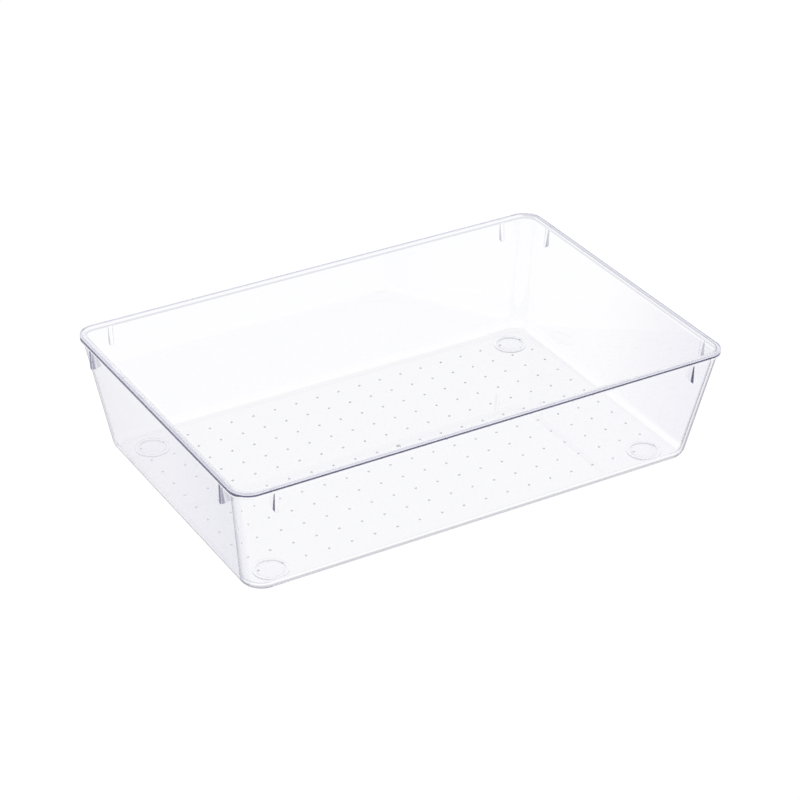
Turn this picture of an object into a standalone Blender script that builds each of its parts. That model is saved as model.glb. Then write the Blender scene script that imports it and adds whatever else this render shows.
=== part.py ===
"""A clear moulded drawer organizer insert: one open tray and the four grip pads that it stands on.

Metres, +Z up. The origin is the middle of the surface that the pads rest on. X runs along the
tray's length and Y across it, from the front (-Y) to the back (+Y).

The tray is a single injection moulding: a floor, four drafted walls, a rim that stands out round
the top, eight short stacking ribs under the rim, a ring under each corner of the floor, and a
square grid of small pips on the floor.
"""

import math

import bmesh
import bpy
from mathutils import Vector

# Overall size of the moulding
LENGTH = 0.2290
WIDTH = 0.1522
HEIGHT = 0.0535

# Grip pads, which hold the moulding off the surface
PAD_RADIUS = 0.0055
PAD_THICKNESS = 0.0012
PAD_EDGE = 0.0003
PAD_SIDES = 24
PAD_GAP = 0.0003
UNDERSIDE = PAD_THICKNESS + PAD_GAP

# Walls and floor
WALL = 0.0014
FLOOR = 0.0015
DRAFT = math.radians(8.75)
SLOPE = math.tan(DRAFT)
OUTER_FILLET = 0.0048
INNER_FILLET = 0.0048
FILLET_STEPS = 5

# Rim
RIM_DEPTH = 0.0023
RIM_OVERHANG = 0.0011
RIM_EDGE = 0.0004
RIM_EDGE_STEPS = 2
FLANGE = HEIGHT - RIM_DEPTH

# Vertical corners, seen from above
CORNER_AT_FLANGE = 0.0079
CORNER_AT_BASE = 0.0096
CORNER_STEPS = 10

# Stacking ribs: two at each corner, one on each wall
RIB_FROM_CORNER = 0.0165
RIB_WIDTH = 0.0020
RIB_LENGTH = 0.0092
RIB_SETBACK = 0.0002
RIB_ROOT = 0.0007
RIB_STEPS = 6

# Grid of pips on the floor. The rings stand on the same grid
PITCH = 0.0106
PIP_COLUMNS = 19
PIP_ROWS = 11
PIP_RADIUS = 0.00055
PIP_HEIGHT = 0.0003
PIP_ROOT = 0.0004
PIP_SIDES = 6
GATE_RADIUS = 0.0015

# Rings under the corners of the floor, which the pads sit in
RING_COLUMN = 8.5
RING_ROW = 5.0
RING_OUTER = 0.0075
RING_INNER = 0.0061
RING_HEIGHT = 0.0008
RING_ROOT = 0.0005
RING_SIDES = 32

# Half the underside's length and width, from which the walls lean out
HALF_LENGTH = LENGTH / 2 - RIM_OVERHANG - FLANGE * SLOPE
HALF_WIDTH = WIDTH / 2 - RIM_OVERHANG - FLANGE * SLOPE

QUARTER_TURN = math.radians(90)
SMOOTH_BELOW = math.radians(35)
ROUND_PROFILE = 0.5


def clear_scene():
    """Removes every object that the scene starts with."""
    for obj in list(bpy.data.objects):
        bpy.data.objects.remove(obj, do_unlink=True)


def plastic(name, colour, roughness, transmission, ior):
    """A Principled material for a clear or translucent moulding."""
    material = bpy.data.materials.new(name)
    material.use_nodes = True
    shader = material.node_tree.nodes["Principled BSDF"]
    shader.inputs["Base Color"].default_value = (*colour, 1.0)
    shader.inputs["Metallic"].default_value = 0.0
    shader.inputs["Roughness"].default_value = roughness
    shader.inputs["Transmission Weight"].default_value = transmission
    shader.inputs["IOR"].default_value = ior
    return material


def add_object(name, mesh_builder, material=None):
    """A named object at the origin whose mesh is what mesh_builder leaves in an empty bmesh."""
    shape = bmesh.new()
    mesh_builder(shape)
    bmesh.ops.recalc_face_normals(shape, faces=shape.faces)
    mesh = bpy.data.meshes.new(name)
    shape.to_mesh(mesh)
    shape.free()
    obj = bpy.data.objects.new(name, mesh)
    bpy.context.scene.collection.objects.link(obj)
    if material:
        mesh.materials.append(material)
    return obj


def join_to(obj, other):
    """Unites the helper object with obj, and leaves the helper out of the model."""
    other.hide_render = True
    other.display_type = "WIRE"
    union = obj.modifiers.new(other.name, "BOOLEAN")
    union.operation = "UNION"
    union.solver = "EXACT"
    union.object = other


def stretched(start, end, share):
    """The value at this share of the way from start to end."""
    return start + (end - start) * share


def outline(height, inset):
    """Points round the tray at a height above its underside, this far in from the wall's face.

    The wall's face leans out with height, and its corner radius goes from the base's to the rim's.
    """
    half_length = HALF_LENGTH + height * SLOPE - inset
    half_width = HALF_WIDTH + height * SLOPE - inset
    radius = stretched(CORNER_AT_BASE, CORNER_AT_FLANGE, height / FLANGE) - inset
    points = []
    for quarter, (side_x, side_y) in enumerate(((1, 1), (-1, 1), (-1, -1), (1, -1))):
        centre = Vector((side_x * (half_length - radius), side_y * (half_width - radius)))
        for step in range(CORNER_STEPS + 1):
            turn = QUARTER_TURN * (quarter + step / CORNER_STEPS)
            points.append(
                Vector(
                    (
                        centre.x + radius * math.cos(turn),
                        centre.y + radius * math.sin(turn),
                        UNDERSIDE + height,
                    )
                )
            )
    return points


def fillet(floor_height, wall_inset, radius):
    """(height, inset) pairs along the arc from a level face up to a wall's face."""
    centre_height = floor_height + radius
    centre_inset = wall_inset + radius / math.cos(DRAFT)
    pairs = []
    for step in range(FILLET_STEPS + 1):
        angle = stretched(-QUARTER_TURN, -DRAFT, step / FILLET_STEPS)
        height = centre_height + radius * math.sin(angle)
        reach = radius * math.cos(angle) + (centre_height - height) * SLOPE
        pairs.append((height, centre_inset - reach))
    return pairs


def rim_section():
    """(height, inset) pairs round the rim, from its underside at the wall to its inner edge.

    The rim's outer face is upright, so its inset from the leaning wall's face grows with height.
    """
    wall_inset = WALL / math.cos(DRAFT)
    pairs = [(FLANGE, 0.0), (FLANGE, -RIM_OVERHANG)]
    for step in range(RIM_EDGE_STEPS + 1):
        angle = QUARTER_TURN * step / RIM_EDGE_STEPS
        height = HEIGHT - RIM_EDGE + RIM_EDGE * math.sin(angle)
        rounded_off = RIM_EDGE * (1 - math.cos(angle))
        pairs.append((height, (height - FLANGE) * SLOPE - RIM_OVERHANG + rounded_off))
    for step in range(RIM_EDGE_STEPS + 1):
        angle = QUARTER_TURN * step / RIM_EDGE_STEPS
        height = HEIGHT - RIM_EDGE + RIM_EDGE * math.cos(angle)
        pairs.append((height, wall_inset + RIM_EDGE * (1 - math.sin(angle))))
    return pairs


def build_shell(shape):
    """The tray's floor, walls and rim as one skin of loops, closed by the floor's two faces."""
    underside = fillet(0.0, 0.0, OUTER_FILLET)
    inside = fillet(FLOOR, WALL / math.cos(DRAFT), INNER_FILLET)
    section = underside + rim_section() + inside[::-1]
    loops = []
    for height, inset in section:
        loops.append([shape.verts.new(point) for point in outline(height, inset)])
    count = len(loops[0])
    for lower, upper in zip(loops, loops[1:]):
        for i in range(count):
            j = (i + 1) % count
            shape.faces.new((lower[i], lower[j], upper[j], upper[i]))
    shape.faces.new(loops[0])
    shape.faces.new(loops[-1])


def add_prism(shape, first, last):
    """A closed prism between two outlines with the same number of points."""
    near = [shape.verts.new(point) for point in first]
    far = [shape.verts.new(point) for point in last]
    count = len(near)
    shape.faces.new(near)
    shape.faces.new(far)
    for i in range(count):
        j = (i + 1) % count
        shape.faces.new((near[i], near[j], far[j], far[i]))


def rib_face():
    """(across, height) points of a rib seen square on: a strip with a round lower end."""
    half = RIB_WIDTH / 2
    top = FLANGE + RIM_DEPTH / 2
    middle = FLANGE - RIB_LENGTH + half
    face = [(half, top), (-half, top)]
    for step in range(RIB_STEPS + 1):
        turn = math.pi * (1 + step / RIB_STEPS)
        face.append((half * math.cos(turn), middle + half * math.sin(turn)))
    return face


def add_rib(shape, along, base_reach, rim_reach, outward):
    """One rib. Its root follows the wall's lean and its outer face stands upright under the rim's edge."""
    across = Vector((-outward.y, outward.x, 0.0))
    root = []
    front = []
    for offset, height in rib_face():
        point = across * (along + offset) + Vector((0.0, 0.0, UNDERSIDE + height))
        root.append(point + outward * (base_reach + height * SLOPE - RIB_ROOT))
        front.append(point + outward * (rim_reach - RIB_SETBACK))
    add_prism(shape, root, front)


def build_ribs(shape):
    """All eight ribs, two on each wall, the same distance in from each corner of the rim."""
    for side in (-1, 1):
        for end in (-1, 1):
            on_long = end * (LENGTH / 2 - RIB_FROM_CORNER)
            on_short = end * (WIDTH / 2 - RIB_FROM_CORNER)
            add_rib(shape, on_long, HALF_WIDTH, WIDTH / 2, Vector((0.0, side, 0.0)))
            add_rib(shape, on_short, HALF_LENGTH, LENGTH / 2, Vector((side, 0.0, 0.0)))


def circle(centre_x, centre_y, height, radius, sides):
    """Points round a level circle."""
    points = []
    for i in range(sides):
        turn = 2 * math.pi * i / sides
        points.append(
            Vector((centre_x + radius * math.cos(turn), centre_y + radius * math.sin(turn), height))
        )
    return points


def add_pip(shape, centre_x, centre_y, radius):
    """One low pip with a flat top, rooted in the floor."""
    floor = UNDERSIDE + FLOOR
    base = circle(centre_x, centre_y, floor - PIP_ROOT, radius, PIP_SIDES)
    top = circle(centre_x, centre_y, floor + PIP_HEIGHT, radius / 2, PIP_SIDES)
    add_prism(shape, base, top)


def build_pips(shape):
    """The grid of pips. The one in the middle is the wider stub of the moulding gate."""
    for column in range(PIP_COLUMNS):
        for row in range(PIP_ROWS):
            x = (column - (PIP_COLUMNS - 1) / 2) * PITCH
            y = (row - (PIP_ROWS - 1) / 2) * PITCH
            at_gate = abs(x) < PITCH / 2 and abs(y) < PITCH / 2
            add_pip(shape, x, y, GATE_RADIUS if at_gate else PIP_RADIUS)


def corner_centres():
    """(name, x, y) of each ring and its pad."""
    for y_name, side_y in (("front", -1), ("back", 1)):
        for x_name, side_x in (("left", -1), ("right", 1)):
            yield f"{y_name}_{x_name}", side_x * RING_COLUMN * PITCH, side_y * RING_ROW * PITCH


def build_rings(shape):
    """The four rings under the floor, each a square-edged band rooted in the floor."""
    low = UNDERSIDE - RING_HEIGHT
    high = UNDERSIDE + RING_ROOT
    for _, x, y in corner_centres():
        bands = (
            (low, RING_OUTER),
            (high, RING_OUTER),
            (high, RING_INNER),
            (low, RING_INNER),
        )
        loops = []
        for height, radius in bands:
            points = circle(x, y, height, radius, RING_SIDES)
            loops.append([shape.verts.new(point) for point in points])
        for lower, upper in zip(loops, loops[1:] + loops[:1]):
            for i in range(RING_SIDES):
                j = (i + 1) % RING_SIDES
                shape.faces.new((lower[i], lower[j], upper[j], upper[i]))


def build_pad(shape):
    """A thin round pad standing on z = 0 about its own axis."""
    bmesh.ops.create_cone(
        shape,
        cap_ends=True,
        segments=PAD_SIDES,
        radius1=PAD_RADIUS,
        radius2=PAD_RADIUS,
        depth=PAD_THICKNESS,
    )
    bmesh.ops.translate(shape, verts=shape.verts, vec=(0.0, 0.0, PAD_THICKNESS / 2))
    level = [
        edge
        for edge in shape.edges
        if abs(edge.verts[0].co.z - edge.verts[1].co.z) < PAD_EDGE / 2
    ]
    bmesh.ops.bevel(
        shape,
        geom=level,
        offset=PAD_EDGE,
        segments=1,
        affect="EDGES",
        profile=ROUND_PROFILE,
    )


def smooth(obj):
    """Shades the round faces smooth and keeps the real edges sharp."""
    obj.data.shade_smooth()
    obj.data.set_sharp_from_angle(angle=SMOOTH_BELOW)


def main():
    """Builds the tray with its joined details, then the four pads."""
    clear_scene()
    clear_plastic = plastic("clear_plastic", (0.93, 0.93, 0.97), 0.05, 1.0, 1.58)
    pad_silicone = plastic("pad_silicone", (0.86, 0.86, 0.90), 0.45, 0.6, 1.41)
    tray = add_object("tray", build_shell, clear_plastic)
    join_to(tray, add_object("tray_ribs", build_ribs))
    join_to(tray, add_object("tray_rings", build_rings))
    join_to(tray, add_object("tray_pips", build_pips))
    smooth(tray)
    for corner, x, y in corner_centres():
        pad = add_object(f"grip_pad_{corner}", build_pad, pad_silicone)
        pad.location = (x, y, 0.0)
        smooth(pad)


main()
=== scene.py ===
"""A clear moulded drawer organizer insert, finished, on a pale floor in soft studio light.

Metres, +Z up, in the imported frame: X runs along the tray's length, Y across it from the front (-Y)
to the back (+Y), and z = 0 is the surface that the four grip pads rest on.
"""

import logging
import math
from dataclasses import dataclass
from enum import Enum

import bpy
import numpy as np
from mathutils import Matrix, Vector
from numpy.typing import NDArray


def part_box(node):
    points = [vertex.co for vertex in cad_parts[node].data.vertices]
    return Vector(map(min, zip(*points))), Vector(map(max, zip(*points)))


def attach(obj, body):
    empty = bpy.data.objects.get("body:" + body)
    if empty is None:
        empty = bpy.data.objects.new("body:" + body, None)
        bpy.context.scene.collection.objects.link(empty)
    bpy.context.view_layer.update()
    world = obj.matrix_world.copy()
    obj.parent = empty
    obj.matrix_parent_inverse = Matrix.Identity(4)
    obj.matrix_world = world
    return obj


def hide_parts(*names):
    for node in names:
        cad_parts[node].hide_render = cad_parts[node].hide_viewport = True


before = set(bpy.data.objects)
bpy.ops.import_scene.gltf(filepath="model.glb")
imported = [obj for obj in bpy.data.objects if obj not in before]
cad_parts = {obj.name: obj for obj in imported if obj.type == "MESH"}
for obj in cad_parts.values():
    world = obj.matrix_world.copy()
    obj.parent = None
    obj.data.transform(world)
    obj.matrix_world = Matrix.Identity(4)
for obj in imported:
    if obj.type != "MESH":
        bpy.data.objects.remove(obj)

Array = NDArray[np.float64]
Colour = tuple[float, float, float]
Socket = bpy.types.NodeSocket
Marks = list[tuple[Socket, Colour]]

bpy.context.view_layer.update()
BODY = "root"
QUARTER_TURN = math.pi / 2
LIGHT_BOUNCES = 800
MIX_SHARE, MIX_FIRST, MIX_SECOND, MIX_RESULT = 0, 6, 7, 2
log = logging.getLogger("organizer")


# ---------------------------------------------------------------------------------------------
# Surfaces
# ---------------------------------------------------------------------------------------------


@dataclass(frozen=True)
class Skin:
    """A closed surface.

    Attributes:
        points: Its points, one row each.
        quads: Its four-sided faces, as rows of point numbers.
        caps: The faces that close its ends, each a row of point numbers.
    """

    points: Array
    quads: NDArray[np.int64]
    caps: tuple[NDArray[np.int64], ...] = ()

    def mesh(self, name: str) -> bpy.types.Mesh:
        """Puts the surface into a mesh with its faces pointing out.

        Args:
            name: The mesh's name.

        Returns:
            The new mesh.
        """
        mesh = bpy.data.meshes.new(name)
        faces = [*self.quads.tolist(), *(cap.tolist() for cap in self.caps)]
        mesh.from_pydata(self.points.tolist(), [], faces)
        mesh.update()
        return mesh

    def turned_out(self) -> "Skin":
        """The same surface with its faces pointing out.

        The sum over the faces of (first corner) . (second corner x third corner) has the sign of
        the volume that the faces close in.

        Returns:
            This surface, or a copy with every face reversed.
        """
        fans = [self.quads[:, [0, 1, 2]], self.quads[:, [0, 2, 3]]]
        for cap in self.caps:
            first = np.full(len(cap) - 2, cap[0])
            fans.append(np.stack((first, cap[1:-1], cap[2:]), axis=1))
        corners = self.points[np.concatenate(fans)]
        volume = np.einsum("ij,ij->i", corners[:, 0], np.cross(corners[:, 1], corners[:, 2]))
        if volume.sum() > 0:
            return self
        return Skin(self.points, self.quads[:, ::-1], tuple(cap[::-1] for cap in self.caps))

    def repeated(self, offsets: Array) -> "Skin":
        """Copies of the surface, all in one.

        Args:
            offsets: How far each copy stands from this one, one row each.

        Returns:
            A surface of as many separate shells as there are offsets.
        """
        count = len(self.points)
        starts = count * np.arange(len(offsets))
        points = (self.points[None] + offsets[:, None]).reshape(-1, 3)
        quads = (self.quads[None] + starts[:, None, None]).reshape(-1, 4)
        caps = tuple(cap + start for start in starts for cap in self.caps)
        return Skin(points, quads, caps)


def together(skins: list[Skin]) -> Skin:
    """Several surfaces as one.

    Args:
        skins: The surfaces.

    Returns:
        One surface of separate shells.
    """
    starts = np.cumsum([0] + [len(skin.points) for skin in skins[:-1]])
    return Skin(
        np.concatenate([skin.points for skin in skins]),
        np.concatenate([skin.quads + start for skin, start in zip(skins, starts)]),
        tuple(cap + start for skin, start in zip(skins, starts) for cap in skin.caps),
    )


def lofted(loops: Array, joined_ends: bool = False) -> Skin:
    """The skin over a row of closed loops, with a face on the first and last one.

    Point (i, j) is point j of loop i, and each quad joins (i, j), (i, j+1), (i+1, j+1), (i+1, j).

    Args:
        loops: The points, as loops by points by three.
        joined_ends: True to join the last loop to the first, as on a ring, and close no ends.

    Returns:
        The closed surface.
    """
    rows, columns = loops.shape[:2]
    row = np.arange(rows if joined_ends else rows - 1)[:, None]
    column = np.arange(columns)[None]
    next_row, next_column = (row + 1) % rows, (column + 1) % columns
    corners = (
        row * columns + column,
        row * columns + next_column,
        next_row * columns + next_column,
        next_row * columns + column,
    )
    quads = np.stack(np.broadcast_arrays(*corners), axis=-1).reshape(-1, 4)
    ends = np.arange(columns)
    caps = () if joined_ends else (ends[::-1], ends + (rows - 1) * columns)
    return Skin(loops.reshape(-1, 3), quads, caps).turned_out()


def turned(radii: Array, heights: Array, sides: int, joined_ends: bool = False) -> Skin:
    """A profile turned about the Z axis: (r cos t, r sin t, h) for each (r, h) of the profile.

    Args:
        radii: The profile's distances from the axis.
        heights: The profile's heights.
        sides: How many points go round the axis.
        joined_ends: True for a closed profile, such as a ring's section.

    Returns:
        The closed surface.
    """
    turn = np.linspace(0.0, 2 * math.pi, sides, endpoint=False)
    loops = np.stack(
        np.broadcast_arrays(
            radii[:, None] * np.cos(turn), radii[:, None] * np.sin(turn), heights[:, None]
        ),
        axis=-1,
    )
    return lofted(loops, joined_ends)


def arc(start: float, end: float, steps: int) -> Array:
    """Evenly spaced angles from start to end, both kept."""
    return np.linspace(start, end, steps + 1)


def in_scene(name: str, mesh: bpy.types.Mesh) -> bpy.types.Object:
    """An object at the origin that shows this mesh.

    Args:
        name: The object's name.
        mesh: What it shows.

    Returns:
        The new object.
    """
    piece = bpy.data.objects.new(name, mesh)
    bpy.context.scene.collection.objects.link(piece)
    return piece


# ---------------------------------------------------------------------------------------------
# Nodes
# ---------------------------------------------------------------------------------------------


@dataclass(frozen=True)
class Pattern:
    """A noise pattern.

    Attributes:
        scale: How many of its largest patches there are to a unit of length.
        detail: How many finer layers it has.
        roughness: How strong those are.
    """

    scale: float
    detail: float
    roughness: float


@dataclass(frozen=True)
class NodePaper:
    """A node tree, with short calls to add and join nodes.

    Attributes:
        tree: The tree.
    """

    tree: bpy.types.NodeTree

    def feed(self, into: Socket, value: object) -> None:
        """Links an output socket into an input socket, or sets the input to a plain value."""
        if isinstance(value, bpy.types.NodeSocket):
            self.tree.links.new(value, into)
        else:
            into.default_value = value

    def add(self, kind: str, **settings: object) -> bpy.types.Node:
        """Adds one node.

        Args:
            kind: The node's type.
            settings: Its properties by name, and its input sockets by name with _ for a space,
                each a plain value or the output socket that feeds it.

        Returns:
            The new node.
        """
        node = self.tree.nodes.new(kind)
        for key, value in settings.items():
            if hasattr(node, key):
                setattr(node, key, value)
            else:
                self.feed(node.inputs[key.replace("_", " ")], value)
        return node

    def maths(self, operation: str, first: Socket, second: Socket | float) -> Socket:
        """Works out one sum.

        Args:
            operation: The math node's operation.
            first: The first value.
            second: The second value.

        Returns:
            The result's socket.
        """
        node = self.add("ShaderNodeMath", operation=operation)
        self.feed(node.inputs[0], first)
        self.feed(node.inputs[1], second)
        return node.outputs[0]

    def vectors(self, operation: str, *values: Socket | Colour) -> bpy.types.NodeOutputs:
        """Works out one sum on vectors.

        Args:
            operation: The vector math node's operation.
            values: The vectors that it works on.

        Returns:
            The node's outputs, Vector and Value.
        """
        node = self.add("ShaderNodeVectorMath", operation=operation)
        for into, value in zip(node.inputs, values):
            self.feed(into, value)
        return node.outputs

    def parts(self, vector: Socket) -> bpy.types.NodeOutputs:
        """Splits a vector into the outputs X, Y and Z."""
        return self.add("ShaderNodeSeparateXYZ", Vector=vector).outputs

    def size(self, value: Socket) -> Socket:
        """A number without its sign."""
        return self.maths("ABSOLUTE", value, 0.0)

    def product(self, *shares: Socket) -> Socket:
        """Multiplies 0 to 1 shares together.

        Args:
            shares: The shares.

        Returns:
            The product's socket.
        """
        whole = shares[0]
        for share in shares[1:]:
            whole = self.maths("MULTIPLY", whole, share)
        return whole

    def rise(self, value: Socket, start: float, end: float) -> Socket:
        """Rises smoothly from 0 where a value is at the start to 1 where it's at the end.

        Args:
            value: The value.
            start: Where the rise starts.
            end: Where it ends, which may be the lower of the two.

        Returns:
            The socket of the 0 to 1 share.
        """
        settings = {"From Min": start, "From Max": end, "Value": value}
        node = self.add("ShaderNodeMapRange", interpolation_type="SMOOTHSTEP")
        for key, setting in settings.items():
            self.feed(node.inputs[key], setting)
        return node.outputs["Result"]

    def spread(self, value: Socket, low: float, high: float) -> Socket:
        """Spreads a 0 to 1 value over another range.

        Args:
            value: The value.
            low: What 0 becomes.
            high: What 1 becomes.

        Returns:
            The new value's socket.
        """
        node = self.add("ShaderNodeMapRange", Value=value, To_Min=low, To_Max=high)
        return node.outputs["Result"]

    def shaded(self, share: Socket, stops: tuple[tuple[float, Colour], ...]) -> Socket:
        """Turns a 0 to 1 share into a colour.

        Args:
            share: The share.
            stops: Two or more shares in order, and their colours.

        Returns:
            The colour's socket.
        """
        node = self.add("ShaderNodeValToRGB", Fac=share)
        elements = node.color_ramp.elements
        for position, _ in stops[1:-1]:
            elements.new(position)
        for element, (position, colour) in zip(elements, stops):
            element.position = position
            element.color = (*colour, 1.0)
        return node.outputs["Color"]

    def blended(self, share: Socket, first: Socket, second: Colour, how: str = "MIX") -> Socket:
        """Blends a plain colour into another.

        Args:
            share: How far the blend goes.
            first: The colour that it starts from.
            second: The plain colour.
            how: The blend's type.

        Returns:
            The new colour's socket.
        """
        node = self.add("ShaderNodeMix", data_type="RGBA", blend_type=how)
        self.feed(node.inputs[MIX_SHARE], share)
        self.feed(node.inputs[MIX_FIRST], first)
        self.feed(node.inputs[MIX_SECOND], (*second, 1.0))
        return node.outputs[MIX_RESULT]

    def darkened_by(self, colour: Socket, marks: Marks) -> Socket:
        """Multiplies painted shade into a colour: each mark's colour, as far as the mark's share
        goes.

        Args:
            colour: The colour.
            marks: Each painted shade mark's share and colour.

        Returns:
            The new colour's socket.
        """
        # Each mark multiplies its painted shade into the colour.
        for share, painted_shade in marks:
            colour = self.blended(share, colour, painted_shade, "MULTIPLY")
        return colour

    def noise(self, place: Socket, pattern: Pattern) -> Socket:
        """Adds a noise pattern.

        Args:
            place: The point that it's read at.
            pattern: How fine and how rough it is.

        Returns:
            The socket of its 0 to 1 value.
        """
        node = self.add(
            "ShaderNodeTexNoise",
            Vector=place,
            Scale=pattern.scale,
            Detail=pattern.detail,
            Roughness=pattern.roughness,
        )
        return node.outputs["Fac"]

    def glow(self, kind: str, around: Socket, white: float) -> Socket:
        """A glow that looks evenly white to the eye, and lights things with another colour.

        Args:
            kind: The glow's node type.
            around: The colour that it lights things with.
            white: How bright it looks to the eye.

        Returns:
            The shader's socket.
        """
        lit = self.add(kind, Color=around)
        seen = self.add(kind, Color=(1.0, 1.0, 1.0, 1.0), Strength=white)
        path = self.add("ShaderNodeLightPath")
        mix = self.add("ShaderNodeMixShader")
        shaders = (path.outputs["Is Camera Ray"], lit.outputs[0], seen.outputs[0])
        for into, shader in zip(mix.inputs, shaders):
            self.feed(into, shader)
        return mix.outputs["Shader"]


def blank_material(name: str) -> tuple[bpy.types.Material, NodePaper]:
    """Makes a material with an empty node tree.

    Args:
        name: The material's name.

    Returns:
        The material and its tree.
    """
    material = bpy.data.materials.new(name)
    material.use_nodes = True
    material.node_tree.nodes.clear()
    return material, NodePaper(material.node_tree)


@dataclass(frozen=True)
class Band:
    """A stretch of a value that a painted shade mark covers.

    Attributes:
        start: Where the mark starts.
        full: Where it is full.
        fading: Where it starts to fade.
        gone: Where it's gone.
    """

    start: float
    full: float
    fading: float
    gone: float

    def share(self, paper: NodePaper, value: Socket) -> Socket:
        """How much of the mark there is.

        Args:
            paper: The node tree to add to.
            value: The value.

        Returns:
            The socket of the 0 to 1 share.
        """
        return paper.product(
            paper.rise(value, self.start, self.full), paper.rise(value, self.gone, self.fading)
        )


class Lie(Enum):
    """How a face lies: where the part of its normal that tells starts to count, and is enough."""

    ENDWAYS = (0.70, 0.95)
    LEFTWARD = (-0.70, -0.95)
    UPWARD = (0.50, 0.90)
    LEVEL = (0.90, 0.98)
    UNDERCUT = (0.0, -0.15)
    STEEP = (0.80, 0.40)


# ---------------------------------------------------------------------------------------------
# Finishes
# ---------------------------------------------------------------------------------------------


@dataclass(frozen=True)
class Outline:
    """Where the moulding's features lie, for the painted shade that marks them.

    Attributes:
        half_length: Half the rim's outside length.
        half_width: Half the rim's outside width.
        corner: The rim's outside corner radius.
        top: The height of the rim's top.
        flange: The height of the rim's underside.
        floor: The height of the floor's inside face.
        underside: The height of the floor's underside.
        overhang: How far the rim stands out from the wall.
        rib_end: The height of the ribs' lower ends.
        wall_at_rib_end: How far the wall is in from the rim's outside at that height.
        marks_inset: How far in from the rim's outside the painted shade on the pips starts.
        bend_from: The |x| and |y| where the rounded corners start, at the underside's height.
        bend_slope: How far those move out for each metre of height.
    """

    half_length: float
    half_width: float
    corner: float
    top: float
    flange: float
    floor: float
    underside: float
    overhang: float
    rib_end: float
    wall_at_rib_end: float
    marks_inset: float
    bend_from: tuple[float, float]
    bend_slope: float

    def round_corner(self, paper: NodePaper, place: Socket, height: Socket) -> Socket:
        """How far a point is into a rounded corner: min(|x| - x0, |y| - y0), at its height.

        Args:
            paper: The node tree to add to.
            place: The point.
            height: The point's height.

        Returns:
            The distance's socket, negative along the straight walls.
        """
        folded = paper.parts(paper.vectors("ABSOLUTE", place)["Vector"])
        along = paper.maths("SUBTRACT", folded["X"], self.bend_from[0])
        across = paper.maths("SUBTRACT", folded["Y"], self.bend_from[1])
        lesser = paper.maths("MINIMUM", along, across)
        climbed = paper.maths("SUBTRACT", height, self.underside)
        moved = paper.maths("MULTIPLY", climbed, self.bend_slope)
        return paper.maths("SUBTRACT", lesser, moved)

    def outside(self, paper: NodePaper, place: Socket) -> Socket:
        """How far a point is outside the rim's plan, which is a rounded rectangle.

        With q = (|x|, |y|) - (half sides - corner), that is the length of q's positive part, plus
        the greater of q's two numbers where both are negative, less the corner radius.

        Args:
            paper: The node tree to add to.
            place: The point.

        Returns:
            The distance's socket, negative inside.
        """
        folded = paper.vectors("ABSOLUTE", place)["Vector"]
        flat = (1.0, 1.0, 0.0)
        corner_centre = (self.corner - self.half_length, self.corner - self.half_width, 0.0)
        past = paper.vectors("MULTIPLY_ADD", folded, flat, corner_centre)["Vector"]
        positive = paper.vectors("MAXIMUM", past, (0.0, 0.0, 0.0))["Vector"]
        length = paper.vectors("LENGTH", positive)["Value"]
        parts = paper.parts(past)
        greater = paper.maths("MAXIMUM", parts["X"], parts["Y"])
        within = paper.maths("MINIMUM", greater, 0.0)
        return paper.maths("SUBTRACT", paper.maths("ADD", length, within), self.corner)


class Spot:
    """What the plastic's finish can tell about the point that is being shaded.

    Attributes:
        paper: The node tree.
        outline: Where the moulding's features lie.
        place: The point, in the tray's own space.
        x: Its place along the tray.
        y: Its place across the tray.
        height: Its height.
        normal: The outputs X, Y and Z of its face's normal.
        endways: How far its face lies towards one of the tray's ends.
        out: How far it is outside the rim's plan.
        turned_away: How far its face has turned away from the light's way in, from 0 to 1.
        from_inside: 1 where the light comes from inside the plastic.
    """

    def __init__(self, paper: NodePaper, outline: Outline) -> None:
        """Adds the nodes that read the point.

        Args:
            paper: The node tree to add to.
            outline: Where the moulding's features lie.
        """
        self.paper = paper
        self.outline = outline
        coordinates = paper.add("ShaderNodeTexCoord").outputs
        self.place = coordinates["Object"]
        spot = paper.parts(self.place)
        self.x, self.y, self.height = spot["X"], spot["Y"], spot["Z"]
        self.normal = paper.parts(coordinates["Normal"])
        self.endways = paper.rise(paper.size(self.normal["X"]), *Lie.ENDWAYS.value)
        self.out = outline.outside(paper, self.place)
        self.turned_away = paper.add("ShaderNodeLayerWeight").outputs["Facing"]
        self.from_inside = paper.add("ShaderNodeNewGeometry").outputs["Backfacing"]

    def past(self, value: Socket, level: float) -> Socket:
        """How far a value is past a level."""
        return self.paper.maths("SUBTRACT", value, level)

    def on_ribs(self, fade: float) -> Socket:
        """Where the ribs' faces are: below the rim, and off the wall's leaning outer face.

        The wall stands in from the rim's outside by the overhang at the rim's underside, and by
        more the lower it is, in proportion.

        Args:
            fade: Over what distance the share goes from 0 to 1.

        Returns:
            The socket of the 0 to 1 share.
        """
        outline, paper = self.outline, self.paper
        run = outline.flange - outline.rib_end
        above = self.past(self.height, outline.rib_end)
        gain = (outline.wall_at_rib_end - outline.overhang) / run
        off_wall = paper.maths("SUBTRACT", self.out, paper.maths("MULTIPLY", above, gain))
        wall = -outline.wall_at_rib_end
        return paper.product(
            Band(0.0, fade, run - fade, run).share(paper, above),
            paper.rise(off_wall, wall + fade, wall + 2 * fade),
        )

    def below_rim(self, fade: float) -> Socket:
        """Where the height is under the rim."""
        flange = self.outline.flange
        return self.paper.rise(self.height, flange, flange - fade)


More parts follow.
